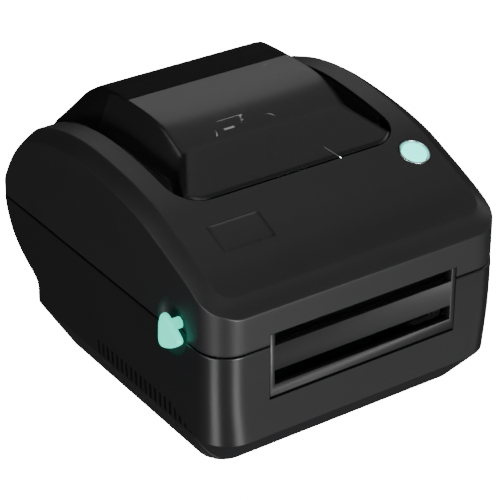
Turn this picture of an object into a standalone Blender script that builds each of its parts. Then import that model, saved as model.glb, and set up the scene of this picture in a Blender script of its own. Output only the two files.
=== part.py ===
"""Desktop thermal label printer, modelled as separate pieces in millimetres and built in metres.

Frame: +Z up, X across, Y from the front (low) to the back (high), origin under the middle of the
bounding box at the level of the rubber feet.  Inside this file a place along the printer is
given as a depth behind the front face, and back() turns it into a Y coordinate.
"""
import math

import bmesh
import bpy
import numpy as np
from mathutils import Matrix, Vector

MM = 0.001

# --- driving dimensions, mm -----------------------------------------------------------------
DEPTH = 221.0            # front face to the rear of the body
HALF_WIDTH = 92.5        # flat side wall to the middle
FOOT_HEIGHT = 2.0
SPLIT = 77.6             # top edge of the base
SPLIT_GAP = 0.8          # shadow line between base and lid
WALL = 2.6               # moulded wall thickness
GAP = 0.3                # clearance between fixed neighbours
CORNER = 17.7            # front corner radius at the split line
REAR_CORNER = 7.0
HINGE_RADIUS = 2.6       # rear hinge barrels, which stand behind the body
HINGE_DEPTH = DEPTH + 0.4
HINGE_HEIGHT = SPLIT + SPLIT_GAP / 2
FRONT = -(HINGE_DEPTH + HINGE_RADIUS) / 2

OPENING_HALF = 70.9      # opening of the lid over the roll
OPENING_FRONT = 62.4
OPENING_REAR = 204.0
OPENING_CORNER = 18.0    # corner radii of the opening, in front and at its rear
OPENING_REAR_CORNER = 6.0
HUMP_HALF = 52.8         # half width of the hump over the roll
CREASE = 91.5            # where the sloping front of the hump meets its top
HUMP_TOP = 155.2
WINDOW_REAR = 144.6      # the clear window ends here and the black cap begins

BEZEL_HALF = 59.5
BEZEL_LOW = 46.1
BEZEL_HIGH = 84.4
SLOT_HALF = 56.6
EXIT_LOW = 77.1          # lower edge of the label slot
LINER_LOW = 53.8
LINER_HIGH = 62.2

PLATEN = (17.0, 72.0)    # depth and height of the platen's axis
PLATEN_RADIUS = 8.0
MODULE = 0.8             # drive gears
PLATEN_TEETH, IDLER_TEETH, PINION_TEETH = 24, 32, 16
ROLL = (134.0, 91.0)     # depth and height of the label roll's axis
GUIDE_FACE = 51.0        # inner face of each media guide at rest
RACK_MODULE = 1.0
RACK_TEETH = 16

BUTTON = (69.7, 51.5, 127.9)
BUTTON_TILT = math.radians(21.5)
LATCH_AXIS = (39.5, 82.0)

BLACK = (0.018, 0.018, 0.02)
DARK = (0.03, 0.03, 0.033)
SMOKE = (0.09, 0.09, 0.1)
TEAL = (0.24, 0.86, 0.78)
STEEL = (0.6, 0.6, 0.62)
RUBBER = (0.02, 0.02, 0.02)
GREEN = (0.03, 0.2, 0.09)
CREAM = (0.75, 0.73, 0.66)
MATERIALS = {
    "black_abs": (BLACK, 0.45, 0.0), "dark_abs": (DARK, 0.6, 0.0), "smoke_window": (SMOKE, 0.1, 0.0),
    "teal_abs": (TEAL, 0.35, 0.0), "steel": (STEEL, 0.35, 1.0), "rubber": (RUBBER, 0.85, 0.0),
    "circuit_board": (GREEN, 0.5, 0.0), "acetal": (CREAM, 0.4, 0.0),
}


def back(depth):
    """Y coordinate of a place given as its depth behind the front face."""
    return FRONT + depth


def smooth_curve(points, x):
    """Value at x of a smooth curve through a few (x, value) points (cubic Hermite pieces)."""
    px, py = np.array(points, float).T
    slope = np.gradient(py, px)
    x = np.clip(np.asarray(x, float), px[0], px[-1])
    k = np.clip(np.searchsorted(px, x, side="right") - 1, 0, len(px) - 2)
    h = px[k + 1] - px[k]
    t = (x - px[k]) / h
    return ((2 * t**3 - 3 * t**2 + 1) * py[k] + (t**3 - 2 * t**2 + t) * h * slope[k]
            + (3 * t**2 - 2 * t**3) * py[k + 1] + (t**3 - t**2) * h * slope[k + 1])


# --- mesh helpers -----------------------------------------------------------------------------
def material(name):
    found = bpy.data.materials.get(name)
    if found:
        return found
    colour, roughness, metallic = MATERIALS[name]
    made = bpy.data.materials.new(name)
    made.use_nodes = True
    shader = made.node_tree.nodes["Principled BSDF"]
    shader.inputs["Base Color"].default_value = (*colour, 1.0)
    shader.inputs["Roughness"].default_value = roughness
    shader.inputs["Metallic"].default_value = metallic
    return made


def solid(name, verts, faces, finish):
    """Object from vertices in mm and faces, with its faces turned outwards."""
    mesh = bpy.data.meshes.new(name)
    mesh.from_pydata([tuple(v) for v in np.asarray(verts, float) * MM], [], faces)
    shape = bmesh.new()
    shape.from_mesh(mesh)
    bmesh.ops.remove_doubles(shape, verts=shape.verts, dist=1e-6)
    bmesh.ops.recalc_face_normals(shape, faces=shape.faces)
    shape.to_mesh(mesh)
    shape.free()
    made = bpy.data.objects.new(name, mesh)
    bpy.context.scene.collection.objects.link(made)
    if finish:
        mesh.materials.append(material(finish))
    return made


def loft(name, loops, finish=None):
    """Closed solid through loops of equal length, capped at both ends."""
    n = len(loops[0])
    faces = [list(range(n)), list(range((len(loops) - 1) * n, len(loops) * n))]
    for k in range(len(loops) - 1):
        for i in range(n):
            j = (i + 1) % n
            faces.append([k * n + i, k * n + j, (k + 1) * n + j, (k + 1) * n + i])
    return solid(name, np.concatenate(loops), faces, finish)


def box(name, x, depth, z, finish=None):
    """Block from ranges in X, depth and Z."""
    corners = [(x[0], back(depth[0])), (x[1], back(depth[0])), (x[1], back(depth[1])), (x[0], back(depth[1]))]
    return loft(name, [np.array([(a, b, h) for a, b in corners]) for h in z], finish)


def along_x(name, outline, x, finish=None):
    """Outline of (depth, height) points carried along X."""
    return loft(name, [np.array([(h, back(d), z) for d, z in outline]) for h in x], finish)


def along_z(name, outline, z, finish=None):
    """Outline of (x, depth) points carried up Z."""
    return loft(name, [np.array([(a, back(d), h) for a, d in outline]) for h in z], finish)


def circle(centre, radius, sides=24, start=0.0, turn=360.0):
    """Points round a centre, anticlockwise, for a full turn or an arc with both ends."""
    full = turn == 360.0
    angles = np.radians(start + turn * np.arange(sides) / (sides if full else sides - 1))
    return [(centre[0] + radius * math.cos(a), centre[1] + radius * math.sin(a)) for a in angles]


def rod(name, centre, radius, x, finish=None, sides=24):
    """Cylinder along X at a (depth, height) centre."""
    return along_x(name, circle(centre, radius, sides), x, finish)


def post(name, centre, radius, z, finish=None, sides=20):
    """Cylinder along Z at an (x, depth) centre."""
    return along_z(name, circle(centre, radius, sides), z, finish)


def turned(name, profile, finish, sides=24):
    """Solid turned about Z: profile is (radius, height) from the bottom of the axis to its top."""
    angles = np.radians(360.0 * np.arange(sides) / sides)
    loops = [np.stack([r * np.cos(angles), r * np.sin(angles), np.full(sides, h)], 1) for r, h in profile]
    return loft(name, loops, finish)


def tool(shape):
    """Marks a shape as a cutter or a guide, which is not part of the printer."""
    shape.hide_render = True
    shape.display_type = "WIRE"
    return shape


def combine(shape, others, operation):
    for other in others:
        step = shape.modifiers.new(other.name, "BOOLEAN")
        step.operation = operation
        step.solver = "EXACT"
        step.object = tool(other)
    return shape


def cut(shape, *others):
    return combine(shape, others, "DIFFERENCE")


def join(shape, *others):
    return combine(shape, others, "UNION")


def pivot(name, centre):
    """Empty on a joint's axis; centre is x, depth, height."""
    made = bpy.data.objects.new(name, None)
    made.location = Vector((centre[0], back(centre[1]), centre[2])) * MM
    bpy.context.scene.collection.objects.link(made)
    return made


def hang(parent, *shapes):
    """Parents shapes to an empty and leaves them where they are."""
    for shape in shapes:
        shape.parent = parent
        shape.matrix_parent_inverse = Matrix.Translation(-parent.location)


def rounded(half, front, rear, front_radius, rear_radius, z, steps=6):
    """Rounded rectangle in plan, as a loop of points at one height."""
    loop = []
    for cx, cd, r, start in ((half - front_radius, front + front_radius, front_radius, -90),
                             (half - rear_radius, rear - rear_radius, rear_radius, 0),
                             (-half + rear_radius, rear - rear_radius, rear_radius, 90),
                             (-half + front_radius, front + front_radius, front_radius, 180)):
        loop += circle((cx, cd), r, steps, start, 90.0)
    return np.array([(x, back(d), z) for x, d in loop])


def gear_outline(centre, teeth, module, turn=0.0, backlash=0.12, flank=4):
    """Involute gear, 20 degree pressure angle, with a shortened tooth."""
    pitch = module * teeth / 2
    base = pitch * math.cos(math.radians(20))
    tip, root = pitch + 0.85 * module, pitch - 1.1 * module
    half_tooth = (math.pi / 2 - backlash) / teeth + math.tan(math.radians(20)) - math.radians(20)
    start = max(base, root + 0.05)
    outline = []
    for k in range(teeth):
        middle = turn + 2 * math.pi * k / teeth
        radii = np.linspace(start, tip, flank)
        roll = np.arccos(np.clip(base / radii, -1, 1))
        spread = half_tooth - (np.tan(roll) - roll)
        edge = half_tooth if base >= root else spread[0]
        points = [(root, -edge - 0.02)] + [(r, -s) for r, s in zip(radii, spread)]
        points += [(r, s) for r, s in zip(radii[::-1], spread[::-1])] + [(root, edge + 0.02)]
        outline += [(centre[0] + r * math.cos(middle + a), centre[1] + r * math.sin(middle + a))
                    for r, a in points]
    return outline


# --- outer shapes -------------------------------------------------------------------------------
BASE_LEVELS = [          # height, half width, front, rear, front radius, rear radius
    (FOOT_HEIGHT, 81.2, 18.9, 168.1, 14.0, 8.0),
    (23.7, 92.2, 0.5, 188.9, 20.4, 8.0),
    (39.2, 92.6, 0.3, 191.4, 18.8, 8.0),
    (47.0, 92.8, 0.2, 202.8, 18.2, 7.5),
    (57.0, 92.9, 0.1, 213.0, 17.8, 7.0),
    (67.0, 92.9, 0.0, 218.3, 17.7, 7.0),
    (SPLIT, 92.9, 0.0, DEPTH, CORNER, REAR_CORNER),
]
TOP_LINE = [             # depth, height of the lid over the middle and along its side rails
    (0, 99.0), (8, 106.6), (18, 113.8), (32, 120.5), (50, 127.6), (64, 132.9), (84, 137.6), (110, 140.8),
    (136, 141.8), (160, 138.8), (176, 134.0), (190, 128.0), (203, 115.6), (211, 103.9), (217, 92.8),
    (DEPTH, 85.4),
]
HUMP_LINE = [            # depth, height of the hump over the roll
    (CREASE, 146.6), (98, 149.4), (108, 152.6), (120, 154.6), (134.7, HUMP_TOP), (146, 154.9),
    (160, 154.3), (172, 152.8), (182, 147.3), (189, 142.2), (195, 134.2), (200, 127.0), (204, 117.5),
    (212, 103.0), (DEPTH, 85.4),
]
SHOULDER = 8.8           # width of the band between side wall and rail
SHOULDER_DROP = 6.0
VALLEY = 8.5             # depth of the channel beside the window


def base_loop(level, inset=0.0, z=None):
    height, half, front, rear, front_radius, rear_radius = level
    return rounded(half - inset, front + inset, rear - inset, front_radius - inset, rear_radius - inset,
                   height if z is None else z)


def lid_half(depth, inset=0.0):
    """Half width of the lid's plan outline at a depth, round its corners."""
    half, front, rear = HALF_WIDTH - inset, inset, DEPTH - inset
    for edge, radius in ((depth - front, CORNER - inset), (rear - depth, REAR_CORNER - inset)):
        if edge < radius:
            return half - radius + math.sqrt(max(radius**2 - (radius - edge) ** 2, 0.0))
    return half


def lid_section(depth, inset=0.0):
    """Outline across the lid at one depth, from its lower left edge over the top to the right."""
    half = lid_half(depth, inset)
    top = float(smooth_curve(TOP_LINE, depth)) - inset
    drop = SHOULDER_DROP * min(1.0, depth / 16.0)
    low = SPLIT + SPLIT_GAP - (4.0 if inset else 0.0)
    right = [(half, low), (half, top - drop), (half - 0.25 * SHOULDER, top - 0.55 * drop),
             (half - 0.6 * SHOULDER, top - 0.2 * drop), (half - SHOULDER, top)]
    left = [(-x, z) for x, z in right]
    return np.array([(x, back(depth), z) for x, z in left + right[::-1]])


def lid_stations(inset=0.0):
    corner = [CORNER * (1 - math.cos(math.radians(a))) for a in (0, 18, 36, 54, 72, 90)]
    rear = [DEPTH - REAR_CORNER * (1 - math.sin(math.radians(a))) for a in (0, 25, 45, 60, 75, 90)]
    depths = corner + [24, 32, 41, 50, 62, 78, 95, 115, 136, 155, 170, 182, 192, 200, 207] + rear
    return [min(max(d, inset), DEPTH - inset) for d in depths if inset <= d <= DEPTH - inset] if inset else depths


def opening_loop(inset, z):
    return rounded(OPENING_HALF - inset, OPENING_FRONT + inset, OPENING_REAR - inset,
                   OPENING_CORNER - inset, OPENING_REAR_CORNER - inset, z)


def hump_height(x, depth):
    """Top of the window and rear cap: a flare in front, the hump, and channels at its sides."""
    away = abs(x)
    rail = float(smooth_curve(TOP_LINE, depth))
    front = 133.6 + (depth - OPENING_FRONT) * (146.6 - 133.6) / (CREASE - OPENING_FRONT)
    crest = float(smooth_curve(HUMP_LINE, depth))
    if away <= HUMP_HALF:
        return min(front, crest) if depth > CREASE else front
    wing = CREASE - (away - HUMP_HALF) * (CREASE - 77.0) / (OPENING_HALF - HUMP_HALF)
    flank = min(1.0, max(0.0, (depth - 158.0) / 38.0))
    steep = 2.4 * (1 - flank) + 0.5 * flank
    channel = max(rail - VALLEY * (1 - flank), 60.0)
    if depth <= wing:
        return front
    ridge = min(front, crest) - steep * (away - HUMP_HALF) if depth > CREASE else \
        133.6 + (wing - OPENING_FRONT) * 0.447 - 1.2 * (depth - wing)
    outer = rail - 0.6 - 2.2 * max(OPENING_HALF - away, 0.0) * (1 - flank)
    return max(ridge, channel, outer)


def shell_over_opening(name, depths, finish, thickness=2.2):
    """Moulding that fills the lid's opening between two depths: an outer and an inner skin."""
    rim = OPENING_HALF - GAP
    columns = [0, 18, 36, HUMP_HALF - 3, HUMP_HALF - 0.8, 55.0, 57.5, 60.5, 65.0, 68.0, rim]
    columns = [-c for c in columns[:0:-1]] + columns

    def point(x, depth, down):
        corner = OPENING_CORNER if depth < 130 else OPENING_REAR_CORNER
        edge = min(depth - OPENING_FRONT, OPENING_REAR - depth)
        half = rim
        if edge < corner:
            half = rim - corner + math.sqrt(max(corner**2 - (corner - edge) ** 2, 0.0))
        x = x * half / rim
        z = hump_height(x, depth) - (0.8 if abs(x) > HUMP_HALF - 1.5 and not down else 0.0)
        return (x * (1 - 0.02 * down / 2.2 if abs(x) < 58 else 1), back(depth), z - down)

    rows = len(depths)
    n = len(columns)
    verts = [point(x, d, down) for down in (0.0, thickness) for d in depths for x in columns]
    faces = []
    for side in (0, rows * n):
        for r in range(rows - 1):
            for c in range(n - 1):
                a = side + r * n + c
                faces.append([a, a + 1, a + n + 1, a + n])
    ring = list(range(n)) + [r * n + n - 1 for r in range(1, rows)]
    ring += [(rows - 1) * n + c for c in range(n - 2, -1, -1)] + [r * n for r in range(rows - 2, 0, -1)]
    for i, a in enumerate(ring):
        b = ring[(i + 1) % len(ring)]
        faces.append([a, b, b + rows * n, a + rows * n])
    return solid(name, verts, faces, finish)


def latch_recess(side):
    """Oval dish in the side walls behind a latch paddle."""
    outline = circle((40.0, 81.0), 15.5, 20)
    return along_x("recess_tool", outline, sorted((side * (HALF_WIDTH - 5.5), side * (HALF_WIDTH + 2))))


def dish(side):
    """Solid that backs the dish, joined to a wall before the dish is cut."""
    outline = circle((40.0, 75.0), 17.5, 20)
    return along_x("dish_tool", outline, sorted((side * (HALF_WIDTH - 7.5), side * (HALF_WIDTH - 1))))


# --- base -----------------------------------------------------------------------------------
def base_housing():
    shape = loft("base_housing", [base_loop(level) for level in BASE_LEVELS], "black_abs")
    levels = [(FOOT_HEIGHT - 1,) + BASE_LEVELS[0][1:]] + list(BASE_LEVELS[:-1])
    levels += [(SPLIT + 1,) + BASE_LEVELS[-1][1:]]
    cut(shape, loft("base_hollow", [base_loop(level, WALL) for level in levels]))
    for side in (-1, 1):
        block = dish(side)
        cut(block, box("above_split", (-120, 120), (0, 80), (SPLIT, 120)))
        join(shape, block)
        cut(shape, latch_recess(side))
    cut(shape, box("bezel_window", (-BEZEL_HALF - GAP, BEZEL_HALF + GAP), (-5, 6), (BEZEL_LOW - GAP, 90)))
    for side in (-1, 1):
        lug = (side * 62 - 10, side * 62 + 10)
        cut(shape, box("hinge_notch", lug, (DEPTH - 5, DEPTH + 5), (HINGE_HEIGHT - 6, 90)))
    for name, x, z in REAR_PORTS:
        cut(shape, box(name + "_window", x, (178, 205), z))
    for side in (-1, 1):
        for k in range(VENTS):
            middle = VENT_START + k * VENT_PITCH
            cut(shape, box("vent", sorted((side * 70, side * 96)), (middle - 1.1, middle + 1.1), (6, 31)))
    return shape


VENTS, VENT_START, VENT_PITCH = 21, 20.0, 4.8
REAR_PORTS = [("dc_port", (-62.0, -50.0), (26.0, 37.0)), ("usb_port", (-36.0, -22.0), (26.0, 38.0)),
              ("switch_port", (44.0, 64.0), (25.0, 39.0))]


def base_plate():
    floor = dict(half=81.2 - WALL - 0.6, front=20.0 + WALL + 0.6, rear=168.1 - WALL - 0.6)
    loops = [rounded(floor["half"], floor["front"], floor["rear"], 11.0, 7.0, z) for z in (2.3, 4.8)]
    shape = loft("base_plate", loops, "dark_abs")
    for x, d in PLATE_SCREWS:
        cut(shape, post("plate_hole", (x, d), 2.2, (1, 6)))
    return shape


PLATE_SCREWS = [(-66.0, 100.0), (66.0, 100.0), (-66.0, 152.0), (66.0, 152.0)]
FEET = [(-62.0, 46.0), (62.0, 46.0), (-62.0, 140.0), (62.0, 140.0)]


def front_bezel():
    outline = [(0.3, 84.4), (0.3, 51.0), (0.9, 48.6), (2.4, 46.8), (4.4, BEZEL_LOW), (6.0, BEZEL_LOW), (6.0, 84.4)]
    shape = along_x("front_bezel", outline, (-BEZEL_HALF, BEZEL_HALF), "black_abs")
    cut(shape, box("exit_tool", (-SLOT_HALF, SLOT_HALF), (-5, 10), (EXIT_LOW, 90)),
        box("bezel_relief", (-SLOT_HALF, SLOT_HALF), (3.0, 10), (LINER_HIGH + 2, 90)),
        box("liner_tool", (-SLOT_HALF, SLOT_HALF), (-5, 10), (LINER_LOW, LINER_HIGH)))
    return shape


def tear_bar():
    """Steel strip whose upper edge is cut into a row of teeth."""
    teeth, half = 56, 56.0
    pitch = 2 * half / teeth
    top = []
    for k in range(teeth):
        x = half - k * pitch
        top += [(x, 76.4), (x - pitch / 2, 77.9)]
    outline = [(-half, 66.5), (half, 66.5)] + top + [(-half, 76.4)]
    loops = [np.array([(x, back(d), z) for x, z in outline]) for d in (3.4, 4.6)]
    return loft("tear_bar", loops, "steel")


def media_chassis():
    """Inner frame: a sheet bent into feed ramp, floor and back, between two cheeks."""
    upper = [(172.0, 70.0), (168.0, 46.0), (158.0, 30.0), (96.0, 30.0), (28.0, 74.0)]
    lower = [(25.0, 73.2), (95.0, 27.4), (159.5, 27.4), (170.6, 45.0), (174.6, 70.0)]
    shape = along_x("media_chassis", upper + lower, (-77.0, 77.0), "dark_abs")
    cheek = [(9.0, 60.0), (9.0, 76.0), (30.0, 76.5), (60.0, 70.0), (150.0, 70.0), (174.0, 70.0), (170.0, 44.0),
             (160.0, 26.0), (94.0, 26.0), (40.0, 26.0), (22.0, 44.0)]
    for side in (-1, 1):
        join(shape, along_x("cheek", cheek, sorted((side * 76, side * 78.5)) , None))
        cut(shape, rod("bush_seat", PLATEN, 5.3, sorted((side * 70, side * 85))))
        lane = GUIDE_LANES[side]
        cut(shape, box("guide_slot", (-70, 70), (lane - 4.0, lane + 4.0), (26, 32)))
    for x, d in PLATE_SCREWS:
        column = post("screw_column", (x, d), 4.0, (5.1, 29.0), None, 12)
        cut(column, post("screw_bore", (x, d), 1.3, (4, 18), None, 10))
        join(shape, column)
    for side in (-1, 1):
        cut(shape, box("hook_window", sorted((side * 69.0, side * 74.0)), (30.0, 52.0), (40.0, 90.0)))
    cut(shape, rod("axle_bore", IDLER, 2.1, (70, 90)), rod("motor_bore", MOTOR, 4.6, (70, 90)))
    cut(shape, post("pinion_bore", (0, ROLL[0]), 2.3, (20, 40)))
    return shape


def gear_place(origin, distance, angle):
    return (origin[0] + distance * math.cos(math.radians(angle)), origin[1] + distance * math.sin(math.radians(angle)))


IDLER = gear_place(PLATEN, MODULE * (PLATEN_TEETH + IDLER_TEETH) / 2, -60.0)
MOTOR = gear_place(IDLER, MODULE * (IDLER_TEETH + PINION_TEETH) / 2, -37.0)
GUIDE_LANES = {-1: ROLL[0] - RACK_MODULE * RACK_TEETH / 2 - 3.0, 1: ROLL[0] + RACK_MODULE * RACK_TEETH / 2 + 3.0}


# --- drive train ------------------------------------------------------------------------------
def drive():
    """Platen, its gears and the motor, on the right of the media chassis."""
    roller = rod("platen_roller", PLATEN, PLATEN_RADIUS, (-56.0, 56.0), "rubber", 32)
    cut(roller, rod("core", PLATEN, 3.05, (-60, 60)))
    shaft = rod("platen_shaft", PLATEN, 3.0, (-79.0, 84.0), "steel")
    gear = along_x("platen_gear", gear_outline(PLATEN, PLATEN_TEETH, MODULE, math.radians(-60)),
                   (79.5, 83.3), "acetal")
    cut(gear, rod("gear_bore", PLATEN, 3.05, (70, 90)))
    idler = along_x("idler_gear", gear_outline(IDLER, IDLER_TEETH, MODULE, math.radians(120) + math.pi / IDLER_TEETH),
                    (79.5, 83.3), "acetal")
    cut(idler, rod("gear_bore", IDLER, 2.1, (70, 90)))
    mesh_angle = math.radians(120) + math.pi / IDLER_TEETH
    toward = math.radians(-37)
    phase = (toward - mesh_angle) * IDLER_TEETH / (2 * math.pi)
    turn = toward + math.pi + (0.5 + phase) * 2 * math.pi / PINION_TEETH
    pinion = along_x("motor_pinion", gear_outline(MOTOR, PINION_TEETH, MODULE, turn), (79.5, 83.3), "steel")
    cut(pinion, rod("gear_bore", MOTOR, 1.55, (70, 90)))
    motor = rod("stepper_motor", MOTOR, 14.0, (52.0, 75.6), "steel")
    join(motor, rod("motor_shaft", MOTOR, 1.5, (70, 83.6), None, 12))
    axle = rod("idler_axle", IDLER, 2.0, (74.5, 84.0), "steel", 16)
    bushes = []
    for side, name in ((-1, "platen_bush_left"), (1, "platen_bush_right")):
        bush = rod(name, PLATEN, 5.0, sorted((side * 75.4, side * 79.0)), "acetal")
        cut(bush, rod("bush_bore", PLATEN, 3.05, (-90, 90)))
        bushes.append(bush)
    return roller, shaft, gear, idler, pinion, motor, axle, bushes


# --- label roll guides ----------------------------------------------------------------------------
def media_guide(side, name):
    """Sliding cheek with a hub for the roll's core, a foot through the floor and a rack."""
    face = side * GUIDE_FACE
    outer = face + side * 3.0
    outline = circle(ROLL, 30.0, 18, -20, 220.0) + [(ROLL[0] - 16, 31.5), (ROLL[0] + 16, 31.5)]
    shape = along_x(name, outline, sorted((face, outer)), "dark_abs")
    lane = GUIDE_LANES[side]
    join(shape, box("foot", sorted((face, outer)), (lane - 3.0, lane + 3.0), (21.0, 34.0)))
    pitch = math.pi * RACK_MODULE
    line = ROLL[0] + side * RACK_MODULE * RACK_TEETH / 2
    reach = -side * 15.0
    teeth = []
    count = int((abs(face) + 15.0) / pitch)
    for k in range(count):
        x = reach + side * (k + 0.5) * pitch
        x = round(x / pitch - 0.5) * pitch + 0.5 * pitch
        for dx, height in ((-1.12, -1.1), (-0.42, 0.85), (0.42, 0.85), (1.12, -1.1)):
            teeth.append((x + dx, line - side * height * RACK_MODULE))
    teeth.sort()
    outline = [(min(reach, face), lane + side * 2.2)] + [(min(reach, face), line + side * 1.1)] + \
        [t for t in teeth if min(reach, face) + 0.5 < t[0] < max(reach, face) - 0.5] + \
        [(max(reach, face), line + side * 1.1), (max(reach, face), lane + side * 2.2)]
    join(shape, along_z("rack", outline, (21.0, 24.5)))
    cut(shape, rod("hub_bore", ROLL, 3.1, (-70, 70)))
    return shape


def roll_hub(side, name):
    """Free-turning cone that the label roll's core sits on."""
    face = side * (GUIDE_FACE - GAP)
    shape = along_x(name, circle(ROLL, 12.5, 24), sorted((face, face - side * 7.0)), "acetal")
    join(shape, rod("hub_stub", ROLL, 2.95, sorted((face - side * 1, side * (GUIDE_FACE + 4.0))), None, 16))
    return shape


def guide_pinion():
    shape = along_z("guide_pinion", gear_outline((0.0, ROLL[0]), RACK_TEETH, RACK_MODULE, math.pi / 2), (21.0, 24.5),
                    "acetal")
    join(shape, post("pinion_stub", (0, ROLL[0]), 2.2, (24.0, 29.5), None, 16))
    return shape


# --- electronics --------------------------------------------------------------------------------
def electronics():
    board = box("main_board", (-58, 58), (62, 160), (9.0, 10.6), "circuit_board")
    join(board, box("processor", (-12, 2), (84, 98), (10.4, 12.0)), box("capacitor", (20, 30), (80, 90), (10.4, 19.0)),
         box("head_connector", (-50, -30), (66, 72), (10.4, 15.0)))
    dc = box("dc_inlet", (-61.5, -50.5), (174, 189.9), (26.5, 36.5), "dark_abs")
    cut(dc, along_y_hole((-56.0, 31.5), 3.2, (180, 198)))
    join(dc, along_y_hole((-56.0, 31.5), 1.1, (179, 188.9)))
    usb = box("usb_port", (-35.4, -22.6), (174, 189.9), (26.6, 37.4), "steel")
    cut(usb, box("usb_mouth", (-33.8, -24.2), (178, 198), (28.2, 35.8)))
    join(usb, box("usb_tongue", (-31.6, -26.4), (177, 188.4), (30.4, 33.6)))
    power = box("switch_housing", (44.4, 63.6), (176, 191.4), (25.4, 38.6), "dark_abs")
    cut(power, box("switch_mouth", (46.4, 61.6), (179, 198), (27.2, 36.8)))
    return board, dc, usb, power


def along_y_hole(centre, radius, depth, sides=16):
    """Cylinder along Y at an (x, height) centre."""
    loops = [np.array([(x, back(d), z) for x, z in circle(centre, radius, sides)]) for d in depth]
    return loft("turned_port", loops)


ROCKER = (54.0, 186.6, 32.0)


def power_rocker():
    """Rocker with two faces that meet at a shallow angle, turning about its middle."""
    outline = [(ROCKER[1] - 4, ROCKER[2] - 2.0), (ROCKER[1] + 3.4, ROCKER[2] - 4.0), (ROCKER[1] + 3.2, ROCKER[2]),
               (ROCKER[1] + 4.9, ROCKER[2] + 4.0), (ROCKER[1] - 4, ROCKER[2] + 2.0)]
    return along_x("power_rocker", outline, (46.9, 61.1), "black_abs")


# --- lid ------------------------------------------------------------------------------------------
def lid_shell():
    shape = loft("lid_shell", [lid_section(d) for d in lid_stations()], "black_abs")
    cut(shape, loft("lid_hollow", [lid_section(d, WALL) for d in lid_stations(WALL)]))
    for side in (-1, 1):
        block = dish(side)
        cut(block, box("below_split", (-120, 120), (0, 80), (40, SPLIT + SPLIT_GAP)))
        join(shape, block)
        cut(shape, latch_recess(side))
    cut(shape, loft("opening_tool", [opening_loop(0.0, z) for z in (90, 200)]))
    cut(shape, box("bezel_notch", (-BEZEL_HALF - GAP, BEZEL_HALF + GAP), (-5, 7), (70, BEZEL_HIGH + GAP)))
    cut(shape, rod("latch_bore", LATCH_AXIS, 3.4, (-100, 100)))
    for side in (-1, 1):
        lug = (side * 62 - 10, side * 62 + 10)
        cut(shape, box("hinge_notch", lug, (DEPTH - 5, DEPTH + 5), (70, HINGE_HEIGHT + 6)))
    hole = turned("button_hole", [(9.2, -9), (9.2, 9)], None)
    place_on_panel(hole)
    cut(shape, hole)
    return shape


def place_on_panel(shape):
    """Stands a shape made about Z on the sloping panel at the feed button."""
    shape.location = Vector((BUTTON[0], back(BUTTON[1]), BUTTON[2])) * MM
    shape.rotation_euler = (BUTTON_TILT, 0, 0)


def feed_button():
    ring = turned("button_ring", [(8.9, -3.4), (8.9, 0.3), (8.4, 0.8)], "dark_abs")
    cut_tool = turned("ring_bore", [(7.6, -6), (7.6, 6)], None)
    button = turned("feed_button", [(7.3, -4.2), (7.3, 0.6), (6.6, 1.2)], "teal_abs")
    for shape in (ring, cut_tool, button):
        place_on_panel(shape)
    cut(ring, cut_tool)
    board = box("button_board", (58, 82), (40.0, 63.0), (109.5, 111.0), "circuit_board")
    join(board, box("tact_switch", (66.5, 72.9), (49.5, 56.0), (110.8, 115.5)))
    return button, ring, board


def lid_frame():
    """Moulded cross member behind the lid's front that carries the print head and latch rod."""
    shape = box("lid_frame", (-82.0, 82.0), (12.0, 34.0), (91.6, 94.6), "dark_abs")
    for side in (-1, 1):
        arm = along_x("frame_arm", [(13.0, 94.0), (33.0, 94.0), (46.0, 90.0), (46.0, 77.5 + SPLIT_GAP + 0.6),
                                    (30.0, 79.2), (26.0, 86.0), (13.0, 91.7)], sorted((side * 79.0, side * 82.0)))
        cut(arm, rod("rod_bore", LATCH_AXIS, 3.3, (-100, 100)))
        join(shape, arm)
    return shape


def print_head():
    """Heated ceramic strip under an aluminium bar, floating on two springs above the platen."""
    shape = box("print_head", (-54.0, 54.0), (11.5, 29.5), (82.2, 86.0), "steel")
    join(shape, box("heater", (-54.0, 54.0), (12.5, 21.5), (80.4, 82.4)))
    for k in range(4):
        join(shape, box("head_fin", (-20, 20), (13.5 + 4 * k, 15.0 + 4 * k), (85.8, 88.0)))
    return shape


def spring(name, x):
    """Coil drawn as one closed wire helix standing on Z."""
    turns, steps, wire, radius = 3.0, 36, 0.55, 3.2
    loops = []
    for k in range(steps + 1):
        a = 2 * math.pi * turns * k / steps
        z = 87.05 + 3.8 * k / steps
        out = np.array([math.cos(a), math.sin(a), 0.0])
        centre = np.array([x, back(20.5), z]) + radius * out
        loops.append(np.array([centre + wire * (math.cos(b) * out + np.array([0, 0, math.sin(b)]))
                               for b in np.radians(60.0 * np.arange(6))]))
    return loft(name, loops, "steel")


def latch_bar():
    """Rod across the lid that carries a paddle on each side and two hooks in front."""
    shape = rod("latch_rod", LATCH_AXIS, 2.6, (-93.4, 93.4), "steel", 16)
    hooks, paddles = [], []
    for side, hand in ((-1, "left"), (1, "right")):
        outline = [(36.5, 84.6), (42.5, 84.6), (43.0, 76.0), (40.2, 66.5), (33.5, 67.6), (33.5, 70.0), (37.4, 70.6),
                   (36.0, 77.0)]
        hook = along_x("latch_hook_" + hand, outline, sorted((side * 70.0, side * 73.0)), "steel")
        cut(hook, rod("hook_bore", LATCH_AXIS, 2.65, (-90, 90), None, 16))
        hooks.append(hook)
        face = [(41.1, 88.6), (44.2, 86.9), (45.8, 81.4), (46.7, 69.9), (44.4, 68.1), (39.4, 69.5), (32.7, 73.0),
                (26.4, 78.2), (26.9, 80.2), (35.2, 85.4), (39.0, 88.2)]
        paddle = along_x("latch_paddle_" + hand, face, sorted((side * 93.6, side * 97.2)), "teal_abs")
        paddles.append(paddle)
    return shape, hooks, paddles


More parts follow.
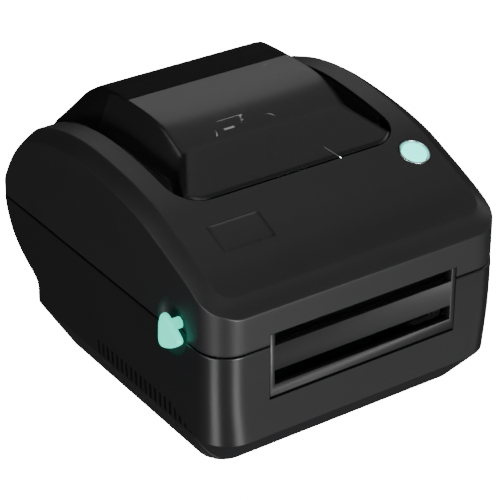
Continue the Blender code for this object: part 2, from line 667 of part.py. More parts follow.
def name_plate():
    """Blank plate on the panel."""
    outline = [(-66.5, 30.4), (-35.0, 30.4), (-35.0, 47.0), (-66.5, 47.0)]
    loops = [np.array([(x, back(d), float(smooth_curve(TOP_LINE, d)) + up) for x, d in outline]) for up in (0.5, 0.9)]
    return loft("name_plate", loops, "black_abs")


def hinges():
    """Two rear hinges: a pair of ears on the base, a knuckle on the lid and a pin through both."""
    made = []
    centre = (HINGE_DEPTH, HINGE_HEIGHT)
    for side, hand in ((-1, "left"), (1, "right")):
        x = side * 62.0
        lower = box("hinge_bracket_" + hand, (x - 8.6, x + 8.6), (DEPTH - 4.6, DEPTH - 2.6), (72.3, 75.5), "steel")
        for ear in (-1, 1):
            ears = sorted((x + ear * 4.4, x + ear * 8.6))
            join(lower, rod("ear", centre, HINGE_RADIUS, ears, None, 16),
                 along_x("ear_web", [(DEPTH - 4.6, 72.4), (DEPTH - 0.5, 75.6), (HINGE_DEPTH - 0.5, HINGE_HEIGHT - 1),
                                     (DEPTH - 2.4, HINGE_HEIGHT - 1), (DEPTH - 4.6, 75.0)], ears))
        upper = rod("hinge_knuckle_" + hand, centre, HINGE_RADIUS, (x - 4.1, x + 4.1), "steel", 16)
        join(upper, along_x("knuckle_web", [(HINGE_DEPTH - 1, HINGE_HEIGHT + 1), (DEPTH - 4.6, HINGE_HEIGHT + 5.6),
                                            (DEPTH - 4.6, HINGE_HEIGHT + 2.0), (HINGE_DEPTH - 2, HINGE_HEIGHT - 0.5)],
                            (x - 4.1, x + 4.1)))
        pin = rod("hinge_pin_" + hand, centre, 1.2, (x - 9.0, x + 9.0), "steel", 12)
        for leaf in (lower, upper):
            cut(leaf, rod("pin_bore", centre, 1.26, (x - 12, x + 12), None, 12))
        made.append((lower, upper, pin))
    return made


def sensors():
    lower = box("gap_sensor", (-8, 8), (34.0, 42.0), (56.0, 60.0), "dark_abs")
    upper = box("media_sensor", (-8, 8), (36.0, 44.0), (86.0, 91.0), "dark_abs")
    return lower, upper


def fasteners():
    shapes = []
    for k, (x, d) in enumerate(PLATE_SCREWS):
        screw = turned("plate_screw_%d" % (k + 1), [(3.4, 0.0), (3.6, 1.2), (1.2, 1.3), (1.2, 8.5)], "steel", 12)
        screw.location = Vector((x, back(d), 0.8)) * MM
        shapes.append(screw)
    for k, (x, d) in enumerate(FEET):
        shapes.append(post("foot_%d" % (k + 1), (x, d), 6.5, (0.0, 2.0), "rubber", 20))
    return shapes


def main():
    for shape in list(bpy.data.objects):
        bpy.data.objects.remove(shape)
    base_housing()
    base_plate()
    front_bezel()
    tear_bar()
    media_chassis()
    electronics()
    fasteners()
    roller, shaft, gear, idler, pinion, motor, axle, bushes = drive()
    hang(pivot("platen_axis", (0, *PLATEN)), roller, shaft, gear)
    hang(pivot("idler_axis", (81.4, *IDLER)), idler)
    hang(pivot("pinion_axis", (81.4, *MOTOR)), pinion)
    for side, hand in ((-1, "left"), (1, "right")):
        hang(pivot("guide_slide_" + hand, (side * GUIDE_FACE, *ROLL)), media_guide(side, "media_guide_" + hand))
        hang(pivot("hub_axis_" + hand, (side * GUIDE_FACE, *ROLL)), roll_hub(side, "roll_hub_" + hand))
    hang(pivot("guide_pinion_axis", (0, ROLL[0], 24.0)), guide_pinion())
    hang(pivot("rocker_axis", ROCKER), power_rocker())
    lid = pivot("lid_hinge", (0, HINGE_DEPTH, HINGE_HEIGHT))
    window = shell_over_opening("roll_window", [63.2, 66, 71, 77, 84, CREASE, 94, 99, 106, 115, 125, 135,
                                                WINDOW_REAR], "smoke_window")
    cap = shell_over_opening("rear_cap", [WINDOW_REAR + GAP, 153, 162, 171, 179, 184, 189, 194, 199, 203.3],
                             "black_abs")
    button, ring, board = feed_button()
    head = print_head()
    springs = [spring("head_spring_left", -38.0), spring("head_spring_right", 38.0)]
    bar, hooks, paddles = latch_bar()
    base_sensor, lid_sensor = sensors()
    hang(lid, lid_shell(), window, cap, ring, board, lid_frame(), name_plate(), lid_sensor, *springs)
    hang(pivot("button_slide", BUTTON), button)
    hang(pivot("head_slide", (0, 20.5, 82.2)), head)
    hang(pivot("latch_axis", (0, *LATCH_AXIS)), bar, *hooks, *paddles)
    for lower, upper, pin in hinges():
        hang(lid, upper)


main()
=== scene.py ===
"""Looks of a desktop thermal label printer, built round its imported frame."""
import math

import bmesh
import bpy
import numpy as np
from mathutils import Matrix, Vector


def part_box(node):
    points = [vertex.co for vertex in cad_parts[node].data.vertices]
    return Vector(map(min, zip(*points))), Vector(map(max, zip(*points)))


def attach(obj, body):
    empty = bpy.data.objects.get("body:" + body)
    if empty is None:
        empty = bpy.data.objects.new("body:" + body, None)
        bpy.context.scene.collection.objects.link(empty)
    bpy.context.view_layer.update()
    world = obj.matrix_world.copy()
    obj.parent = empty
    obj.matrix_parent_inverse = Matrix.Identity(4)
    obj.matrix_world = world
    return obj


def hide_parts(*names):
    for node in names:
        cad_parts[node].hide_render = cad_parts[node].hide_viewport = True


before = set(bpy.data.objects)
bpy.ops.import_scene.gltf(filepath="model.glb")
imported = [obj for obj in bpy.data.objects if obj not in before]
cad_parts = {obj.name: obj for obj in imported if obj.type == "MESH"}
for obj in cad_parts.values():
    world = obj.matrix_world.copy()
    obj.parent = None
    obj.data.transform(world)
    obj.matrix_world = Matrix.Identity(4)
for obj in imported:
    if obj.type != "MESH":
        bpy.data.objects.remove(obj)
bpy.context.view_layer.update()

bl_info = {
    "name": "Thermal Label Printer Looks",
    "version": (1, 0, 0),
    "blender": (4, 5, 0),
    "location": "View3D > Sidebar > Printer",
    "description": "Builds the visible shells, trim and finishes of a desktop label printer",
    "category": "Object",
}

MM = 0.001


def corner(node, which):
    """Lowest (0) or highest (1) corner of a frame node, in mm."""
    return np.array(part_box(node)[which]) / MM


# --- sizes read from the frame, mm ---------------------------------------------------------------
LID_LOW, LID_HIGH = corner("lid_shell", 0), corner("lid_shell", 1)
BASE_LOW, BASE_HIGH = corner("base_housing", 0), corner("base_housing", 1)
WINDOW_HIGH = corner("roll_window", 1)
BEZEL_LOW, BEZEL_HIGH = corner("front_bezel", 0), corner("front_bezel", 1)
HALF = LID_HIGH[0]
FRONT = LID_LOW[1]
DEPTH = LID_HIGH[1] - FRONT
BASE_HALF = BASE_HIGH[0]
SPLIT = BASE_HIGH[2]
LID_FOOT = LID_LOW[2]
OPENING_HALF = WINDOW_HIGH[0] + 0.3
OPENING_FRONT = 62.4
OPENING_REAR = 204.0
OPENING_CORNER = 18.0
OPENING_REAR_CORNER = 6.0
CORNER = 17.7
REAR_CORNER = 7.0
HUMP_HALF = 52.8
CREASE = 91.5
WINDOW_REAR = 144.6
SHOULDER = 8.8
SHOULDER_DROP = 6.0
VALLEY = 8.5
TOP_LINE = [
    (0, 99.0), (8, 106.6), (18, 113.8), (32, 120.5), (50, 127.6), (64, 132.9), (84, 137.6), (110, 140.8),
    (136, 141.8), (160, 138.8), (176, 134.0), (190, 128.0), (203, 115.6), (211, 103.9), (217, 92.8),
    (DEPTH, 85.4),
]
HUMP_LINE = [
    (CREASE, 146.6), (98, 149.4), (108, 152.6), (120, 154.6), (134.7, WINDOW_HIGH[2]), (146, 154.9),
    (160, 154.3), (172, 152.8), (182, 147.3), (189, 142.2), (195, 134.2), (200, 127.0), (204, 117.5),
    (212, 103.0), (DEPTH, 85.4),
]
BASE_LEVELS = [
    (BASE_LOW[2], 81.2, 18.9, 168.1, 14.0, 8.0),
    (23.7, 92.2, 0.5, 188.9, 20.4, 8.0),
    (39.2, 92.6, 0.3, 191.4, 18.8, 8.0),
    (47.0, 92.8, 0.2, 202.8, 18.2, 7.5),
    (57.0, BASE_HALF, 0.1, 213.0, 17.8, 7.0),
    (67.0, BASE_HALF, 0.0, 218.3, 17.7, 7.0),
    (SPLIT, BASE_HALF, 0.0, DEPTH, CORNER, REAR_CORNER),
]
BUTTON = np.array([69.7, 51.5, 127.9])
BUTTON_TILT = math.radians(21.5)
LATCH_AXIS = (39.5, 82.0)
BEZEL_SPAN = (BEZEL_LOW[0] - 0.3, BEZEL_HIGH[0] + 0.3)
HINGE_DEPTHS = (DEPTH - 5, DEPTH + 5)


def hinge_span(side):
    """Reach across the printer of the notch for one rear hinge."""
    return side * 62 - 10, side * 62 + 10


def back(depth):
    """Y of a depth behind the front face."""
    return FRONT + depth


def curve(points, x):
    """Smooth curve through a few (x, value) points: cubic pieces with averaged slopes."""
    px, py = np.array(points, float).T
    slope = np.gradient(py, px)
    x = np.clip(np.asarray(x, float), px[0], px[-1])
    k = np.clip(np.searchsorted(px, x, side="right") - 1, 0, len(px) - 2)
    h = px[k + 1] - px[k]
    t = (x - px[k]) / h
    return ((2 * t**3 - 3 * t**2 + 1) * py[k] + (t**3 - 2 * t**2 + t) * h * slope[k]
            + (3 * t**2 - 2 * t**3) * py[k + 1] + (t**3 - t**2) * h * slope[k + 1])


def ease(x, low, high):
    """Smooth step from 0 at low to 1 at high."""
    t = np.clip((x - low) / (high - low), 0, 1)
    return t * t * (3 - 2 * t)


# --- meshes ---------------------------------------------------------------------------------------
def quads(rows, cols, closed=False, start=0):
    """Faces of a grid of rows by cols points, the columns joined into rings if closed."""
    c = np.arange(cols if closed else cols - 1)
    n = (c + 1) % cols
    r = np.arange(rows - 1)[:, None] * cols
    return (np.stack([r + c, r + n, r + cols + n, r + cols + c], -1).reshape(-1, 4) + start).tolist()


def piece(name, points, faces, body, finish, slot, stands_for=(), sharp=32.0):
    """Object from points in mm, shaded smooth up to an angle, riding on a body of the frame."""
    mesh = bpy.data.meshes.new(name)
    mesh.from_pydata((np.asarray(points, float).reshape(-1, 3) * MM).tolist(), [], faces)
    mesh.validate()
    mesh.update()
    made = bpy.data.objects.new(name, mesh)
    bpy.context.scene.collection.objects.link(made)
    mesh.materials.append(finish)
    mesh.shade_smooth()
    mesh.set_sharp_from_angle(angle=math.radians(sharp))
    if body:
        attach(made, body)
        if stands_for:
            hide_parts(*stands_for)
    return made


def outward(made):
    """Merges doubles and turns the faces of a finished mesh outwards."""
    shape = bmesh.new()
    shape.from_mesh(made.data)
    bmesh.ops.remove_doubles(shape, verts=shape.verts, dist=1e-6)
    bmesh.ops.recalc_face_normals(shape, faces=shape.faces)
    shape.to_mesh(made.data)
    shape.free()
    return made


def blank(name, points, faces):
    """Cutter: a closed mesh that is used up by carve()."""
    made = outward(piece(name, points, faces, None, finishes["grained_abs"], ""))
    return made


def settle(made, sharp=32.0):
    """Replaces a piece's mesh by what its modifiers make of it."""
    graph = bpy.context.evaluated_depsgraph_get()
    mesh = bpy.data.meshes.new_from_object(made.evaluated_get(graph))
    made.modifiers.clear()
    made.data = mesh
    mesh.shade_smooth()
    mesh.set_sharp_from_angle(angle=math.radians(sharp))


def thicken(made, thickness):
    """Gives a surface a wall, grown inwards from its visible side."""
    wall = made.modifiers.new("wall", "SOLIDIFY")
    wall.thickness, wall.offset = thickness * MM, -1.0
    settle(made)


def carve(made, *blanks, sharp=32.0):
    """Cuts closed blanks out of a closed piece."""
    before = len(made.data.vertices)
    for other in blanks:
        step = made.modifiers.new("carve", "BOOLEAN")
        step.operation, step.solver, step.object = "DIFFERENCE", "MANIFOLD", other
    settle(made, sharp)
    if len(made.data.vertices) in (0, before):
        raise RuntimeError(f"{made.name} was not cut")
    for other in blanks:
        bpy.data.objects.remove(other)


def bevel(made, width, segments=2, angle=35.0):
    """Rounds a piece's hard edges."""
    edge = made.modifiers.new("edge", "BEVEL")
    edge.width, edge.segments, edge.limit_method = width * MM, segments, "ANGLE"
    edge.angle_limit = math.radians(angle)
    edge.harden_normals = True
    settle(made, 60.0)


def tube_grid(loops):
    """Closed solid through rings of points: a grid closed round, with a fan at either end."""
    loops = np.asarray(loops, float)
    rows, cols = loops.shape[:2]
    points = np.concatenate([loops.reshape(-1, 3), loops[0].mean(0)[None], loops[-1].mean(0)[None]])
    faces = quads(rows, cols, True)
    a, b = rows * cols, rows * cols + 1
    faces += [[(i + 1) % cols, i, a] for i in range(cols)]
    faces += [[(rows - 1) * cols + i, (rows - 1) * cols + (i + 1) % cols, b] for i in range(cols)]
    return points, faces


def block(x, depth, z):
    """Points and faces of a box given by ranges in X, depth and Z."""
    (a, b), (c, d), (e, f) = sorted(x), depth, z
    ring = np.array([(a, back(c)), (b, back(c)), (b, back(d)), (a, back(d))])
    points = np.array([(p[0], p[1], h) for h in (e, f) for p in ring])
    faces = [[3, 2, 1, 0], [4, 5, 6, 7]] + [[i, (i + 1) % 4, 4 + (i + 1) % 4, 4 + i] for i in range(4)]
    return points, faces


def gather(parts):
    """One set of points and faces from several."""
    points, faces, start = [], [], 0
    for p, f in parts:
        p = np.asarray(p, float).reshape(-1, 3)
        points.append(p)
        faces += [[i + start for i in face] for face in f]
        start += len(p)
    return np.concatenate(points), faces


def prism(outline, x):
    """Outline of (depth, height) points carried along X."""
    outline = np.asarray(outline, float)
    loops = [np.stack([np.full(len(outline), h), back(outline[:, 0]), outline[:, 1]], 1) for h in x]
    points = np.concatenate(loops)
    n = len(outline)
    faces = [list(range(n - 1, -1, -1)), list(range(n, 2 * n))]
    faces += [[i, (i + 1) % n, n + (i + 1) % n, n + i] for i in range(n)]
    return points, faces


def arc(centre, radius, start, turn, steps):
    """Points on an arc, in degrees."""
    a = np.radians(start + turn * np.linspace(0, 1, steps))
    return np.stack([centre[0] + radius * np.cos(a), centre[1] + radius * np.sin(a)], 1)


def plan(half, front, rear, front_radius, rear_radius, steps, sides, ends):
    """Rounded rectangle in plan as (x, depth), from the middle of the front round to the right.

    Its corners have steps points each, its long sides and its ends the given numbers."""
    parts = []
    fr, rr = front_radius, rear_radius
    parts.append(np.stack([np.linspace(0, half - fr, ends, endpoint=False), np.full(ends, front)], 1))
    parts.append(arc((half - fr, front + fr), fr, -90, 90, steps)[:-1])
    flat = np.linspace(front + fr, rear - rr, sides, endpoint=False)
    parts.append(np.stack([np.full(sides, half), flat], 1))
    parts.append(arc((half - rr, rear - rr), rr, 0, 90, steps)[:-1])
    parts.append(np.stack([np.linspace(half - rr, 0, ends, endpoint=False), np.full(ends, rear)], 1))
    right = np.concatenate(parts)
    left = right[::-1] * [-1, 1]
    middle = np.array([[0.0, rear]])
    return np.concatenate([right, middle, left[:-1]])


# --- materials ------------------------------------------------------------------------------------
finishes = {}


def linear(code, alpha=1.0):
    """Linear colour from an sRGB hex code."""
    channels = [int(code[i:i + 2], 16) / 255 for i in (1, 3, 5)]
    return [c / 12.92 if c <= 0.04045 else ((c + 0.055) / 1.055) ** 2.4 for c in channels] + [alpha]


def add(tree, kind, settings=None, links=None):
    """Adds a node, sets its properties and sockets, and links outputs of others to its inputs."""
    made = tree.nodes.new(kind)
    for key, value in (settings or {}).items():
        if isinstance(key, str) and hasattr(made, key):
            setattr(made, key, value)
        else:
            made.inputs[key].default_value = value
    for key, source in (links or {}).items():
        tree.links.new(source, made.inputs[key])
    return made


def new_finish(name, **sockets):
    """Material with a Principled shader and the given socket values."""
    made = bpy.data.materials.new(name)
    made.use_nodes = True
    shader = made.node_tree.nodes["Principled BSDF"]
    for key, value in sockets.items():
        shader.inputs[key.replace("_", " ")].default_value = value
    finishes[name] = made
    return made.node_tree, shader


def moulded(name, dark, light, roughness, grain, depth, ior=1.52, coat=0.0, glow=None):
    """Moulded plastic: a spark-eroded grain as bump, faint mottling of colour and of gloss.

    grain is the size of its texture in mm, depth how far it stands up in mm."""
    tree, shader = new_finish(name, IOR=ior, Coat_Weight=coat, Coat_Roughness=0.12)
    place = add(tree, "ShaderNodeTexCoord")
    fine = add(tree, "ShaderNodeTexNoise", {"Scale": 1 / (grain * MM), "Detail": 2.0, "Roughness": 0.6},
               {"Vector": place.outputs["Object"]})
    broad = add(tree, "ShaderNodeTexNoise", {"Scale": 1 / (28 * MM), "Detail": 3.0},
                {"Vector": place.outputs["Object"]})
    tone = add(tree, "ShaderNodeMix", {"data_type": "RGBA", 6: linear(dark), 7: linear(light)},
               {0: broad.outputs["Fac"]})
    gloss = add(tree, "ShaderNodeMapRange", {"From Min": 0.3, "From Max": 0.7, "To Min": roughness * 0.92,
                                             "To Max": roughness * 1.1}, {"Value": fine.outputs["Fac"]})
    bump = add(tree, "ShaderNodeBump", {"Strength": 0.35, "Distance": depth * MM},
               {"Height": fine.outputs["Fac"]})
    tree.links.new(tone.outputs[2], shader.inputs["Base Color"])
    tree.links.new(gloss.outputs["Result"], shader.inputs["Roughness"])
    tree.links.new(bump.outputs["Normal"], shader.inputs["Normal"])
    # Emission is painted light: a glow that stands in for light on the part.
    if glow:
        shader.inputs["Emission Color"].default_value = linear(glow[0])
        shader.inputs["Emission Strength"].default_value = glow[1]
    return finishes[name]


def brushed(name, dark, light, roughness, pitch, along=(1, 0, 0), metallic=1.0):
    """Metal with fine scratches along one direction, pitch mm apart across it."""
    tree, shader = new_finish(name, Metallic=metallic)
    place = add(tree, "ShaderNodeTexCoord")
    stretch = add(tree, "ShaderNodeMapping", {"Scale": [0.04 if a else 1.0 for a in along]},
                  {"Vector": place.outputs["Object"]})
    lines = add(tree, "ShaderNodeTexNoise", {"Scale": 1 / (pitch * MM), "Detail": 3.0},
                {"Vector": stretch.outputs["Vector"]})
    tone = add(tree, "ShaderNodeMix", {"data_type": "RGBA", 6: linear(dark), 7: linear(light)},
               {0: lines.outputs["Fac"]})
    gloss = add(tree, "ShaderNodeMapRange", {"To Min": roughness * 0.7, "To Max": roughness * 1.3},
                {"Value": lines.outputs["Fac"]})
    bump = add(tree, "ShaderNodeBump", {"Strength": 0.2, "Distance": 0.02 * MM},
               {"Height": lines.outputs["Fac"]})
    tree.links.new(tone.outputs[2], shader.inputs["Base Color"])
    tree.links.new(gloss.outputs["Result"], shader.inputs["Roughness"])
    tree.links.new(bump.outputs["Normal"], shader.inputs["Normal"])
    return finishes[name]


def smoked(name, tint, alpha, roughness):
    """Smoke-tinted acrylic: a glossy skin over a dark, slightly see-through body."""
    tree, shader = new_finish(name, Base_Color=linear(tint), IOR=1.49)
    shader.inputs["Roughness"].default_value = roughness
    edge = add(tree, "ShaderNodeLayerWeight", {"Blend": 0.35})
    clear = add(tree, "ShaderNodeMapRange", {"To Min": alpha, "To Max": 1.0},
                {"Value": edge.outputs["Facing"]})
    tree.links.new(clear.outputs["Result"], shader.inputs["Alpha"])
    return finishes[name]


def board_finish(name):
    """Solder mask over glass cloth: green lacquer with copper tracks showing as a lighter pattern."""
    tree, shader = new_finish(name, Roughness=0.35, IOR=1.5)
    place = add(tree, "ShaderNodeTexCoord")
    cells = add(tree, "ShaderNodeTexVoronoi", {"feature": "DISTANCE_TO_EDGE", "Scale": 1 / (6 * MM)},
                {"Vector": place.outputs["Object"]})
    track = add(tree, "ShaderNodeMapRange", {"From Min": 0.02, "From Max": 0.06,
                                                     "To Min": 1.0, "To Max": 0.0},
                {"Value": cells.outputs["Distance"]})
    tone = add(tree, "ShaderNodeMix", {"data_type": "RGBA", 6: linear("#0f4a2c"), 7: linear("#2f7a4e")},
               {0: track.outputs["Result"]})
    tree.links.new(tone.outputs[2], shader.inputs["Base Color"])
    return finishes[name]


def make_finishes():
    colours = bpy.context.scene.printer_colours
    # ABS from a lightly polished mould: near black, with clear soft highlights. Base.
    moulded("satin_abs", colours.shell, "#1d1d1e", 0.31, 0.5, 0.006)
    # ABS from a spark-eroded mould: the grain spreads every highlight. Lid and insert.
    moulded("grained_abs", colours.shell, "#1d1d1e", 0.46, 0.5, 0.02)
    # The same ABS with painted shade, where it faces away or lies inside: darker and duller.
    moulded("painted_shade_abs", "#070708", "#0b0b0c", 0.7, 0.6, 0.02, ior=1.25)
    smoked("smoked_acrylic", "#1d1d1e", 0.86, 0.27)
    # Pigmented ABS with a satin skin and slightly waxy highlights; its emission is a painted glow that
    # brightens the teal, no lamp inside.
    moulded("teal_abs", colours.accent, "#12b5a3", 0.32, 0.5, 0.008, coat=0.2, glow=("#00ffd4", 1.35))
    # The key's emission is a painted glow as well, brighter than the latches'.
    moulded("glowing_teal", "#0fa596", "#12b5a3", 0.3, 0.6, 0.004, coat=0.3, glow=("#10ffe6", 3.2))
    brushed("plated_steel", "#8d8f93", "#c3c5c8", 0.32, 0.25)
    # Tear strip: spring steel with a dark oxide finish.
    brushed("blued_steel", "#1c1c1e", "#3a3a3d", 0.45, 0.25)
    brushed("turned_aluminium", "#a5a7aa", "#d5d6d8", 0.25, 0.2)
    # Ground silicone rubber: no gloss, fine grit.
    moulded("silicone_rubber", "#161617", "#232325", 0.8, 0.8, 0.03)
    moulded("acetal", "#d8d2c0", "#e6e1d3", 0.38, 0.8, 0.004)
    board_finish("solder_mask")
    # Satin chromium over ABS on the key's ring.
    new_finish("chrome_ring", Base_Color=linear("#b9bcbf"), Metallic=1.0, Roughness=0.34)
    # Inlay of the blank plate: the shell's own black, a little smoother.
    moulded("plate_abs", "#131314", "#18181a", 0.36, 0.5, 0.004)


# --- shapes of the big shells ---------------------------------------------------------------------
def soft_least(a, b, k):
    """Smaller of two heights, with the crease between them rounded over k mm."""
    return 0.5 * (a + b - np.sqrt((a - b) ** 2 + k * k))


def soft_most(a, b, k):
    """Larger of two heights, with the crease between them rounded over k mm."""
    return 0.5 * (a + b + np.sqrt((a - b) ** 2 + k * k))


def inside(x, depth, half, front, rear, radius, rear_radius):
    """Distance inwards from a rounded rectangle in plan, negative outside."""
    radius = np.where(depth < (front + rear) / 2, radius, rear_radius)
    dx = np.abs(x) - (half - radius)
    dy = np.abs(depth - (front + rear) / 2) - ((rear - front) / 2 - radius)
    out = np.hypot(np.maximum(dx, 0), np.maximum(dy, 0)) + np.minimum(np.maximum(dx, dy), 0)
    return radius - out


def lid_height(depth, edge):
    """Height of the lid's top: the crown line along the printer, less a sloping shoulder near its edge."""
    drop = SHOULDER_DROP * ease(depth, -6, 20) * ease(depth, 0, 8)
    shoulder = np.clip(1 - edge / SHOULDER, 0, 1)
    soft = np.where(shoulder > 0, shoulder - 0.07 * np.sin(np.pi * np.clip(edge / SHOULDER, 0, 1)), 0)
    return curve(TOP_LINE, depth) - drop * soft


def hump_height(x, depth):
    """Height of window and rear cap: a flare in front, a humped middle and a channel at each side.

    Every part is a height over the plan, and they are joined by rounded minima and maxima."""
    away = np.abs(x)
    rail = curve(TOP_LINE, depth)
    flare = 133.4 + (depth - OPENING_FRONT) * 0.452
    top = soft_least(flare, curve(HUMP_LINE, np.maximum(depth, CREASE)), 0.8)
    flank = ease(depth, 158, 196)
    steep = 2.4 * (1 - flank) + 0.5 * flank
    wing = (away - HUMP_HALF) * 0.849 + (depth - 90.5) * 0.529
    foot = depth - wing * 0.529
    wall = top - steep * (away - HUMP_HALF)
    wing_wall = 133.4 + (foot - OPENING_FRONT) * 0.452 - 3.0 * wing
    channel = rail - VALLEY * (1 - flank)
    side = soft_most(soft_most(wall, wing_wall, 0.8), channel, 1.5)
    edge = inside(x, depth, OPENING_HALF, OPENING_FRONT, OPENING_REAR, OPENING_CORNER, OPENING_REAR_CORNER)
    rim = rail - 0.7 + (1.8 + 3.8 * flank) * edge
    lip = rail - 0.7 - 2.4 * edge * (1 - flank)
    height = soft_least(top, side, 1.2 + 3.6 * (1 - ease(depth, 88, 116)))
    height = np.where(depth > 84, soft_most(height, lip, 0.6), height)
    return soft_least(height, rim, 0.5)


def plan_normals(loop):
    """Unit inward normals of a loop that runs anticlockwise."""
    ahead = np.roll(loop, -1, 0) - np.roll(loop, 1, 0)
    normal = np.stack([-ahead[:, 1], ahead[:, 0]], 1)
    return normal / np.linalg.norm(normal, axis=1)[:, None]


def lid_surface():
    """Rings from the lid's lower edge up its walls, over a filleted edge and in to the opening."""
    steps, sides, ends = 12, 64, 30
    outline = plan(HALF, 0, DEPTH, CORNER, REAR_CORNER, steps, sides, ends)
    opening = plan(OPENING_HALF, OPENING_FRONT, OPENING_REAR, OPENING_CORNER, OPENING_REAR_CORNER,
                   steps, sides, ends)
    normal = plan_normals(outline)
    fillet = 0.65
    edge_height = lid_height(outline[:, 1], 0.0)
    rings = []
    wall_top = edge_height - fillet
    for f in (0, 0.003, 0.009, 0.02):
        inset = 0.8 * (1 - math.sqrt(max(0.0, 1 - (1 - f / 0.02) ** 2)))
        rings.append((outline + normal * inset, LID_FOOT + f * (wall_top - LID_FOOT)))
    for f in np.linspace(0.08, 1, 9):
        rings.append((outline, LID_FOOT + f * (wall_top - LID_FOOT)))
    beyond = outline + normal * fillet
    beyond_height = lid_height(beyond[:, 1], fillet)
    for t in (0.2, 0.4, 0.6, 0.8, 1.0):
        place = (1 - t) ** 2 * outline + 2 * t * (1 - t) * outline + t * t * beyond
        height = (1 - t) ** 2 * wall_top + 2 * t * (1 - t) * edge_height + t * t * beyond_height
        rings.append((place, height))
    for s in (2, 3.2, 4.6, 6, 7.2, 8, 8.6, 9.2, 10, 11.2, 12.6):
        place = outline + normal * s
        rings.append((place, lid_height(place[:, 1], s)))
    start = outline + normal * 12.6
    reach = np.linalg.norm(opening - start, axis=1)[:, None]
    for t in list(np.linspace(0.1, 0.9, 11)):
        place = start + (opening - start) * t
        rings.append((place, lid_height(place[:, 1], 99.0)))
    lip = 0.9
    for s in (lip * 1.6, lip, lip * 0.6, lip * 0.3, lip * 0.08, 0.0):
        place = opening + (start - opening) / reach * s
        fall = lip - math.sqrt(max(lip**2 - max(lip - s, 0) ** 2, 0))
        rings.append((place, lid_height(place[:, 1], 99.0) - fall))
    rings.append((opening, lid_height(opening[:, 1], 99.0) - lip - 1.6))
    points = np.array([np.stack([p[:, 0], back(p[:, 1]), h + 0 * p[:, 0]], 1) for p, h in rings])
    return points, quads(len(rings), points.shape[1], True)


def disc_blank(side, centre, radii, depth_in, tilt=0.0):
    """Rounded dish cutter: ellipsoid cap that sinks depth_in mm into a side wall."""
    u = np.linspace(0, 2 * np.pi, 41)[:-1]
    loops = []
    for bulge, out in ((0.15, -1.0), (0.6, -0.82), (0.85, -0.55), (0.97, -0.2), (1.0, 0.1), (1.0, 0.8)):
        a, b = radii[0] * bulge * np.cos(u), radii[1] * bulge * np.sin(u)
        d = centre[0] + a * math.cos(tilt) - b * math.sin(tilt)
        h = centre[1] + a * math.sin(tilt) + b * math.cos(tilt)
        loops.append(np.stack([np.full(len(u), side * (HALF + out * depth_in)), back(d), h], 1))
    return tube_grid(loops)


RECESS = ((40.0, 81.0), (14.0, 16.5), 5.2)
BOSS_RADIUS = 17.3


def backing(side, low, high):
    """Boss inside a side wall that the latch's dish is cut into."""
    depth, height = RECESS[0]
    start, end = np.degrees(np.arcsin(np.clip((np.array([low, high]) - height) / BOSS_RADIUS, -1, 1)))
    ring = np.concatenate([arc((depth, height), BOSS_RADIUS, start, end - start, 21),
                           arc((depth, height), BOSS_RADIUS, 180 - end, end - start, 21)])
    ring = ring[np.linalg.norm(ring - np.roll(ring, 1, 0), axis=1) > 1e-6]
    return prism(ring, sorted((side * (HALF - 7.3), side * (HALF - 1.4))))


def button_tool(radius):
    u = np.linspace(0, 2 * np.pi, 49)[:-1]
    loops = [np.stack([radius * np.cos(u), radius * np.sin(u), np.full(48, h)], 1) for h in (-9.0, 9.0)]
    points, faces = tube_grid(loops)
    return on_panel(points), faces


def on_panel(points):
    """Stands points made about Z on the panel at the feed button."""
    turn = np.array(Matrix.Rotation(BUTTON_TILT, 3, "X"))
    return np.asarray(points, float).reshape(-1, 3) @ turn.T + [BUTTON[0], back(BUTTON[1]), BUTTON[2]]


def merged(made, parts):
    """Unites a closed piece with closed blanks."""
    for name, (points, faces) in parts:
        other = blank(name, points, faces)
        before = len(made.data.vertices)
        step = made.modifiers.new("merge", "BOOLEAN")
        step.operation, step.solver, step.object = "UNION", "MANIFOLD", other
        settle(made)
        if len(made.data.vertices) <= before:
            raise RuntimeError(f"{name} was not joined to {made.name}")
        bpy.data.objects.remove(other)


def make_lid():
    points, faces = lid_surface()
    lid = piece("lid_cover", points, faces, None, finishes["grained_abs"], "")
    thicken(lid, 2.3)
    merged(lid, [("dish_boss", backing(side, LID_FOOT + 0.05, 99)) for side in (-1, 1)])
    blanks = [blank("dish", *disc_blank(side, *RECESS)) for side in (-1, 1)]
    blanks.append(blank("notch", *block(BEZEL_SPAN, (-4, 7), (70, BEZEL_HIGH[2] + 0.3))))
    blanks.append(blank("rod_bore", *prism(arc(LATCH_AXIS, 3.2, 0, 360, 25)[:-1], (-100, 100))))
    blanks.append(blank("button_bore", *button_tool(9.1)))
    for side in (-1, 1):
        blanks.append(blank("hinge_notch", *block(hinge_span(side), HINGE_DEPTHS, (70, SPLIT + 6.4))))
    carve(lid, *blanks)
    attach(lid, "lid")
    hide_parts("lid_shell")


def base_loop(height):
    """Plan outline of the base at a height, from the levels where its shape changes."""
    rows = np.array(BASE_LEVELS)
    if height < rows[1, 0]:
        t = (height - rows[0, 0]) / (rows[1, 0] - rows[0, 0])
        values = rows[0, 1:] * (1 - t) + rows[1, 1:] * t
    else:
        values = [float(curve(np.stack([rows[1:, 0], rows[1:, k]], 1), height)) for k in range(1, 6)]
    return values


